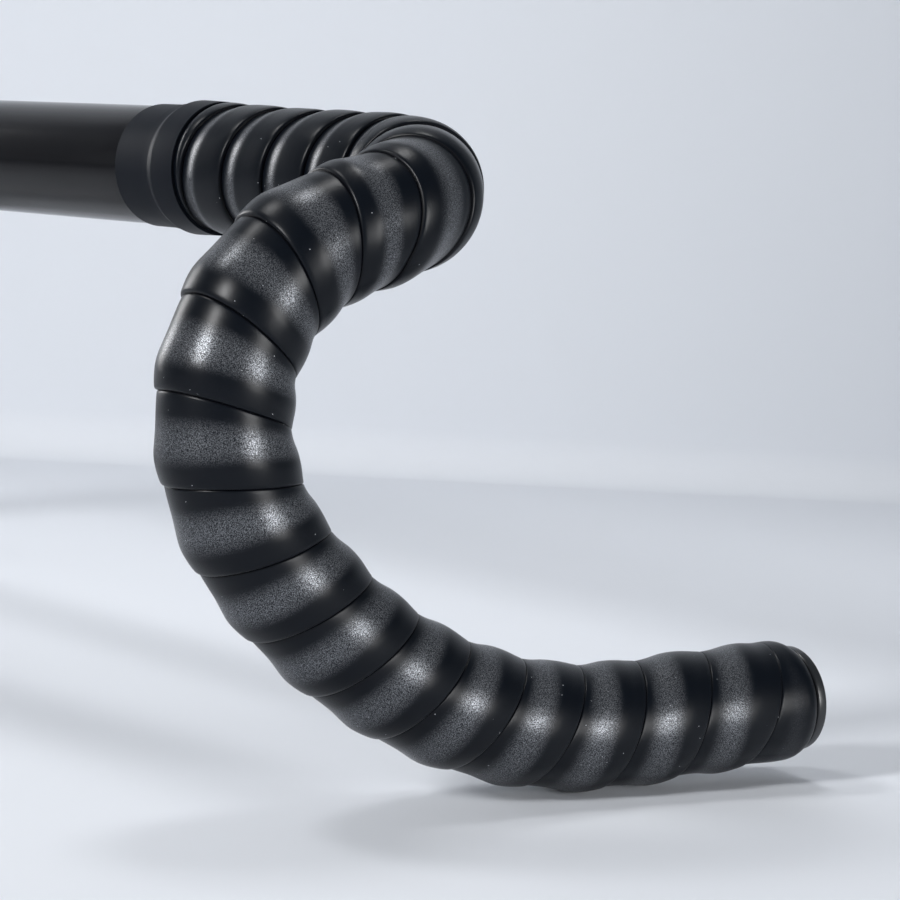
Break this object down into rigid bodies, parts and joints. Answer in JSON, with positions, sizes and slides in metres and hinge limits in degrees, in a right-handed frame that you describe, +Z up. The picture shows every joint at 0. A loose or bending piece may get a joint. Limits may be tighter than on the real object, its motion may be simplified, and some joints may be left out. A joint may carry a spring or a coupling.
{
  "type": "taped drop handlebar",
  "caption": "Drop handlebar with compact, outswept drops, wound in padded tape with finishing bands and expander end plugs.",
  "frame": {"origin": "centre of the stem clamp zone, on the tube's axis", "axes": "+X along the tops to the rider's right, +Y forward along the bicycle, +Z up"},
  "size_m": [0.5046, 0.1875, 0.1658],
  "materials": {
    "handlebar_tube": "gloss",
    "bar_tape": "satin grained",
    "finishing_tape": "satin",
    "end_cap": "semi-gloss",
    "plug_sleeve": "matte",
    "plug_hardware": "zinc plated"
  },
  "bodies": {
    "root": {"handlebar": "handlebar_tube", "left_bar_tape": "bar_tape", "right_bar_tape": "bar_tape", "left_finishing_tape": "finishing_tape", "right_finishing_tape": "finishing_tape", "left_end_cap": "end_cap", "right_end_cap": "end_cap", "left_plug_sleeve": "plug_sleeve", "right_plug_sleeve": "plug_sleeve", "left_wedge_nut": "plug_hardware", "right_wedge_nut": "plug_hardware", "left_plug_screw": "plug_hardware", "right_plug_screw": "plug_hardware"}
  },
  "joints": []
}
